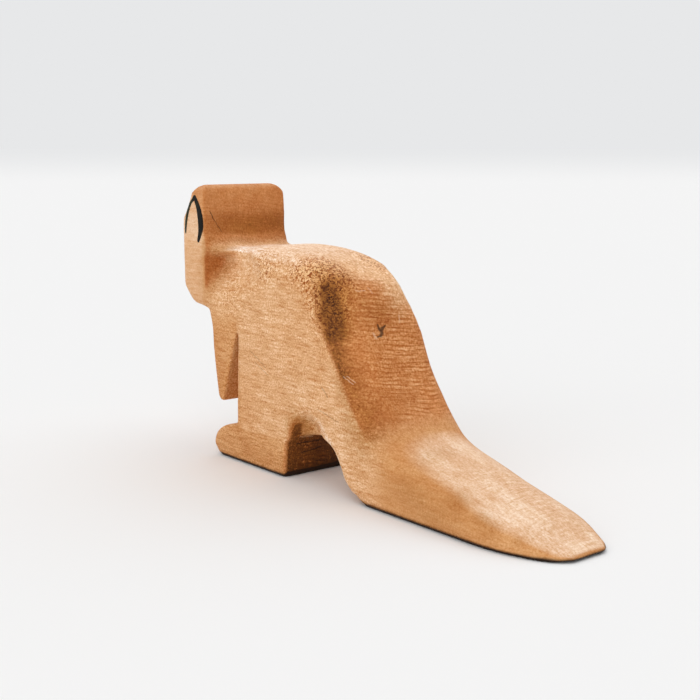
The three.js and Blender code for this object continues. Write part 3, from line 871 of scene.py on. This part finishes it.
class WALLABY_OT_carve_body(bpy.types.Operator):
    """Make the carved body"""

    bl_idname = "wallaby.carve_body"
    bl_label = "Carve Body"
    bl_options = {"REGISTER", "UNDO"}

    def execute(self, context):
        settings = context.scene.wallaby_body
        body = copy_of_node("wallaby_body", "carved_body")
        fill_recesses(body)
        fine_mesh(body, settings.mesh_size)
        smooth_where(body, "all edges", None, 3)
        shape_forms(body)
        mark_wood(body)
        body.data.materials.append(oiled_wood(settings))
        activate(body)
        bpy.ops.object.shade_smooth()
        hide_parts("wallaby_body")
        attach(body, "root")
        deselect()
        return {"FINISHED"}


# Painted marks

# What becomes the outside of a film: an ear solid's outermost layer, elsewhere what lies near the wood
EAR_LAYER = 0.45 * MM
NEAR_WOOD = 0.35 * MM

# How far the inside of a film lies under the wood, in films
FILM_DEPTH = 3


def spread(film, node, settings):
    """Spreads an ear or eye mark over the wood by the brush's overrun, and marks the ear's thin stroke."""
    x, _, z = heel_frame(film)
    thin_stroke = (settings.thin_from - HEEL) / MM
    front = smoothstep(thin_stroke, thin_stroke + 1.5, x)
    if node != NOSE_NODE:
        outward = normals(film) * (1, 0, 1)
        length = np.linalg.norm(outward, axis=1)
        amount = settings.overrun * (1 - front) * (1 + 0.35 * smoothstep(69, 73, z))
        amount = amount * smoothstep(0.2, 0.7, length)
        move_to(film, places(film) + outward / np.maximum(length, 0.1)[:, None] * amount[:, None])
    set_attribute(film, "thin", front if node in EAR_NODES else np.zeros(len(x)))


def lay_on(film, node, body, settings):
    """Lays a mark on the carved surface as a film, its outside just over the wood, its inside under it."""
    if node in EAR_NODES:
        outer = np.abs(places(film)[:, 1])
        over = outer > outer.max() - EAR_LAYER
    else:
        away = [(body.closest_point_on_mesh(v.co)[1] - v.co).length for v in film.data.vertices]
        over = np.array(away) < NEAR_WOOD
    for name, group, offset in (("Over", over, settings.film), ("Under", ~over, -FILM_DEPTH * settings.film)):
        wrap = film.modifiers.new(name, "SHRINKWRAP")
        wrap.target = body
        wrap.wrap_method = "NEAREST_SURFACEPOINT"
        wrap.wrap_mode = "ABOVE_SURFACE"
        wrap.offset = offset
        wrap.vertex_group = weight_group(film, name, group.astype(float))
    apply_modifiers(film)
    film.vertex_groups.clear()


class WALLABY_OT_paint_marks(bpy.types.Operator):
    """Paint the ears, the eyes and the nose"""

    bl_idname = "wallaby.paint_marks"
    bl_label = "Paint Marks"
    bl_options = {"REGISTER", "UNDO"}

    def execute(self, context):
        settings = context.scene.wallaby_paint
        paint = brush_paint(settings)
        for node in EAR_NODES + EYE_NODES + (NOSE_NODE,):
            film = copy_of_node(node, node + "_paint")
            fine_mesh(film, settings.mesh_size)
            smooth_where(film, "soft edges", None, 2)
            spread(film, node, settings)
            lay_on(film, node, bpy.data.objects["carved_body"], settings)
            film.data.materials.append(paint)
            activate(film)
            bpy.ops.object.shade_smooth()
            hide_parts(node)
            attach(film, "root")
        deselect()
        return {"FINISHED"}


# Stage

# Soft lamps: name, direction round Z, height above the floor and width, all in degrees
TOP_LIGHT = ("top_light", -70, 66, 90)
SIDE_LIGHT = ("side_light", 112, 32, 80)

# The camera stands behind the figure and to its left, as in the photo, and looks down a little
CAMERA_PLACE = (-0.24665, 0.20420, 0.09180)
CAMERA_HEADING = (0.767, -0.619, 0)
CAMERA_PITCH = math.radians(9.7)


def soft_light(name, azimuth, height, width, strength):
    """A wide soft lamp far away; a strength of one lights a white surface fully."""
    turn, lift = math.radians(azimuth), math.radians(height)
    way = Vector((math.cos(turn) * math.cos(lift), math.sin(turn) * math.cos(lift), math.sin(lift)))
    bpy.ops.object.light_add(type="SUN", location=way)
    lamp = bpy.context.active_object
    lamp.name = name
    lamp.data.angle = math.radians(width)
    lamp.data.energy = strength * math.pi
    lamp.rotation_euler = way.to_track_quat("Z", "Y").to_euler()


class WALLABY_OT_set_stage(bpy.types.Operator):
    """Set the floor, the lights and the camera"""

    bl_idname = "wallaby.set_stage"
    bl_label = "Set Stage"
    bl_options = {"REGISTER", "UNDO"}

    def execute(self, context):
        settings = context.scene.wallaby_stage
        scene = context.scene
        deselect()
        bpy.ops.mesh.primitive_plane_add(size=settings.floor_size, location=(0, 0, 0))
        floor = context.active_object
        floor.name = "floor"
        material, tree = new_material("pale_floor")
        here = tree.add("ShaderNodeTexCoord").outputs["Object"]
        away = tree.vector("LENGTH", {0: here}, "Value")
        matt = tree.add("ShaderNodeBsdfDiffuse", {"Color": (*settings.floor_colour, 1)})
        glow = tree.add("ShaderNodeEmission", {"Color": (*settings.backdrop_colour, 1)})

        # In the picture the floor nears the horizon as one over the distance, and the fade goes with that
        far = tree.between(tree.math("DIVIDE", 1.0, away), 1 / settings.floor_fade, 0.0)
        shader = tree.add("ShaderNodeMixShader", {0: far, 1: matt.outputs[0], 2: glow.outputs[0]})
        tree.add("ShaderNodeOutputMaterial", {"Surface": shader.outputs[0]})
        floor.data.materials.append(material)

        world = bpy.data.worlds.new("surroundings")
        world.use_nodes = True
        scene.world = world
        tree = Tree(world)
        path = tree.add("ShaderNodeLightPath").outputs
        seen = tree.math("MAXIMUM", path["Is Camera Ray"], path["Is Glossy Ray"])
        seen = tree.math("MAXIMUM", seen, path["Is Transmission Ray"])
        light = tree.add("ShaderNodeBackground", {"Color": (1, 1, 1, 1), "Strength": settings.ambient})
        shown = tree.add("ShaderNodeBackground", {"Color": (*settings.backdrop_colour, 1), "Strength": 1.0})
        both = tree.add("ShaderNodeMixShader", {0: seen, 1: light.outputs[0], 2: shown.outputs[0]})
        tree.add("ShaderNodeOutputWorld", {"Surface": both.outputs[0]})

        soft_light(*TOP_LIGHT, settings.top_strength)
        soft_light(*SIDE_LIGHT, settings.side_strength)

        bpy.ops.object.camera_add(location=CAMERA_PLACE)
        camera = context.active_object
        camera.name = "camera"
        look = Vector(CAMERA_HEADING).normalized() * math.cos(CAMERA_PITCH)
        look.z = -math.sin(CAMERA_PITCH)
        camera.rotation_euler = look.to_track_quat("-Z", "Y").to_euler()
        camera.data.lens = settings.lens
        camera.data.sensor_width = 36
        camera.data.clip_start = 0.01
        camera.data.clip_end = 200
        scene.camera = camera
        scene.view_settings.view_transform = "Standard"
        deselect()
        return {"FINISHED"}


class WALLABY_PT_panel(bpy.types.Panel):
    """Lists what the add-on makes"""

    bl_idname = "WALLABY_PT_panel"
    bl_label = "Carved Wallaby"
    bl_space_type = "VIEW_3D"
    bl_region_type = "UI"
    bl_category = "Wallaby"

    def draw(self, context):
        layout = self.layout
        for operator, settings in PARTS:
            box = layout.box()
            for name in settings.bl_rna.properties.keys():
                if name not in ("name", "rna_type"):
                    box.prop(getattr(context.scene, SCENE_GROUPS[settings]), name)
            box.operator(operator.bl_idname)


PARTS = (
    (WALLABY_OT_carve_body, WallabyBodySettings),
    (WALLABY_OT_paint_marks, WallabyPaintSettings),
    (WALLABY_OT_set_stage, WallabyStageSettings),
)
SCENE_GROUPS = {
    WallabyBodySettings: "wallaby_body",
    WallabyPaintSettings: "wallaby_paint",
    WallabyStageSettings: "wallaby_stage",
}
CLASSES = tuple(SCENE_GROUPS) + tuple(operator for operator, _ in PARTS) + (WALLABY_PT_panel,)


def register():
    for item in CLASSES:
        bpy.utils.register_class(item)
    for settings, name in SCENE_GROUPS.items():
        setattr(bpy.types.Scene, name, bpy.props.PointerProperty(type=settings))


def unregister():
    for name in SCENE_GROUPS.values():
        delattr(bpy.types.Scene, name)
    for item in reversed(CLASSES):
        bpy.utils.unregister_class(item)


def main():
    register()
    bpy.ops.wallaby.carve_body()
    bpy.ops.wallaby.paint_marks()
    bpy.ops.wallaby.set_stage()


if __name__ == "__main__":
    main()
